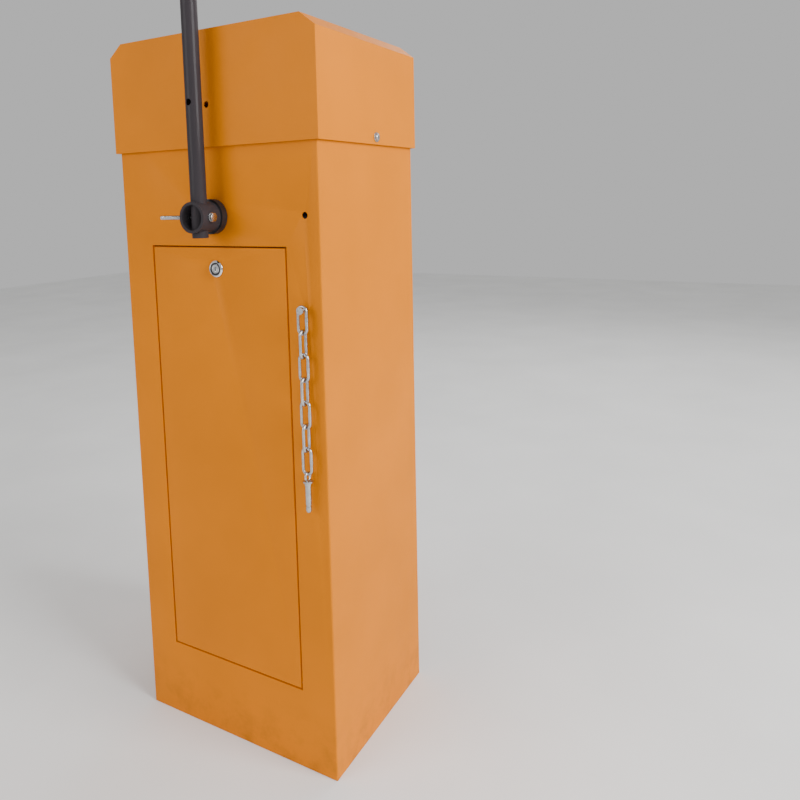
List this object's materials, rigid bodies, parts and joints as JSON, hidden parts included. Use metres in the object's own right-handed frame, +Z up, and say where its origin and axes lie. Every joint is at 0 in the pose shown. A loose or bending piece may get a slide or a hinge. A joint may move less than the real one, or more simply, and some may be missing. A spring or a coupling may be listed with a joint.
{
  "type": "parking barrier gate",
  "caption": "Sheet-steel post for a hand-worked parking barrier: tubular boom socket on a turning shaft, tension-spring balance inside, drop-down locked door, capped lid, lock pin on a chain.",
  "frame": {"origin": "on the ground at the centre of the four anchor holes", "axes": "+X across the front to the side that the boom comes down on, +Y from front to back, +Z up along the upright boom socket"},
  "size_m": [0.369, 0.319, 1.187],
  "materials": {
    "orange_paint": "semi-gloss orange powder coat with a fine orange-peel texture",
    "dark_paint": "satin anthracite powder coat",
    "black_plastic": "moulded black plastic, satin",
    "rubber": "black rubber",
    "bronze": "machined bronze",
    "zinc": "bright zinc plate",
    "chrome": "polished chrome",
    "black_steel": "black oxide steel, slightly oily",
    "bare_steel": "bare drawn steel, oiled",
    "spring_steel": "drawn spring wire, bright"
  },
  "bodies": {
    "cabinet": {"front_panel": "orange_paint", "left_panel": "orange_paint", "right_panel": "orange_paint", "back_panel": "orange_paint", "door_rebate": "orange_paint", "door_stop_flange": "orange_paint", "top_rim": "orange_paint", "base_frame": "orange_paint", "door_pivot_pins": "zinc", "front_bearing_housing": "orange_paint", "front_bush": "bronze", "hub_seal_ring": "black_plastic", "rear_bearing_housing": "orange_paint", "rear_bush": "bronze", "rear_bearing_bolts": "zinc", "stop_studs": "zinc", "stop_buffers": "rubber", "anchor_bars": "orange_paint", "anchor_end_plates": "orange_paint", "anchor_bolt": "black_steel", "chain_stud": "zinc"},
    "lid": {"lid": "orange_paint", "lid_rest_rails": "orange_paint", "lid_screws": "zinc", "lid_nuts": "zinc"},
    "door": {"door_panel": "orange_paint", "lock_barrel": "chrome", "lock_nut": "zinc"},
    "lock": {"lock_plug": "chrome", "lock_cam": "zinc", "cam_screw": "zinc"},
    "boom_hub": {"shaft_tube": "dark_paint", "arm_tube": "dark_paint", "arm_collar": "dark_paint", "hub_bolt": "zinc", "lever_collar": "bare_steel", "lever_bar": "bare_steel", "set_screws": "black_steel", "stop_collar": "bare_steel", "lever_bolt": "black_steel", "lever_spacer": "zinc", "lever_nut": "zinc", "rod_end_ball": "zinc"},
    "spring_upper": {"rod_end": "zinc", "tension_rod": "zinc", "jam_nuts": "zinc", "spring_top_plug": "zinc"},
    "spring_lower": {"coil_spring": "spring_steel", "spring_bottom_plug": "zinc", "anchor_rod": "black_steel", "anchor_eye": "black_steel", "anchor_pin": "black_steel"},
    "chain_upper": {"chain_links_upper": "zinc"},
    "chain_lower": {"chain_links_lower": "zinc"},
    "lock_pin": {"lock_pin": "zinc"}
  },
  "joints": [
    {"name": "boom_swing", "type": "hinge", "parent": "cabinet", "child": "boom_hub", "pos_m": [0, 0, 0.787], "axis": [0, 1, 0], "range_deg": [0, 90], "stiffness_Nm_per_rad": 80},
    {"name": "spring_turn", "type": "hinge", "parent": "boom_hub", "child": "spring_upper", "pos_m": [0, -0.072, 0.633], "axis": [0, 1, 0], "range_deg": [-102, 0]},
    {"name": "spring_stretch", "type": "slide", "parent": "spring_upper", "child": "spring_lower", "axis": [0.0797, 0, -0.9968], "range_m": [0, 0.18], "deforming": ["coil_spring"]},
    {"name": "door_hinge", "type": "hinge", "parent": "cabinet", "child": "door", "pos_m": [0, -0.129, 0.128], "axis": [1, 0, 0], "range_deg": [0, 95]},
    {"name": "lock_turn", "type": "hinge", "parent": "door", "child": "lock", "pos_m": [0, -0.134, 0.714], "axis": [0, 1, 0], "range_deg": [0, 90]},
    {"name": "lid_lift", "type": "slide", "parent": "cabinet", "child": "lid", "axis": [0, 0, 1], "range_m": [0, 0.2]},
    {"name": "chain_swing", "type": "hinge", "parent": "cabinet", "child": "chain_upper", "pos_m": [0.15, -0.1445, 0.665], "axis": [0, 1, 0], "range_deg": [-35, 35]},
    {"name": "chain_bend", "type": "hinge", "parent": "chain_upper", "child": "chain_lower", "pos_m": [0.15, -0.1445, 0.5773], "axis": [0, 1, 0], "range_deg": [-40, 40]},
    {"name": "pin_swing", "type": "hinge", "parent": "chain_lower", "child": "lock_pin", "pos_m": [0.15, -0.1445, 0.4513], "axis": [0, 1, 0], "range_deg": [-40, 40]}
  ],
  "couplings": [
    {"joint": "spring_turn", "follows": "boom_swing", "ratio": -1.1196},
    {"joint": "spring_stretch", "follows": "boom_swing", "m_per_rad": 0.11402}
  ]
}
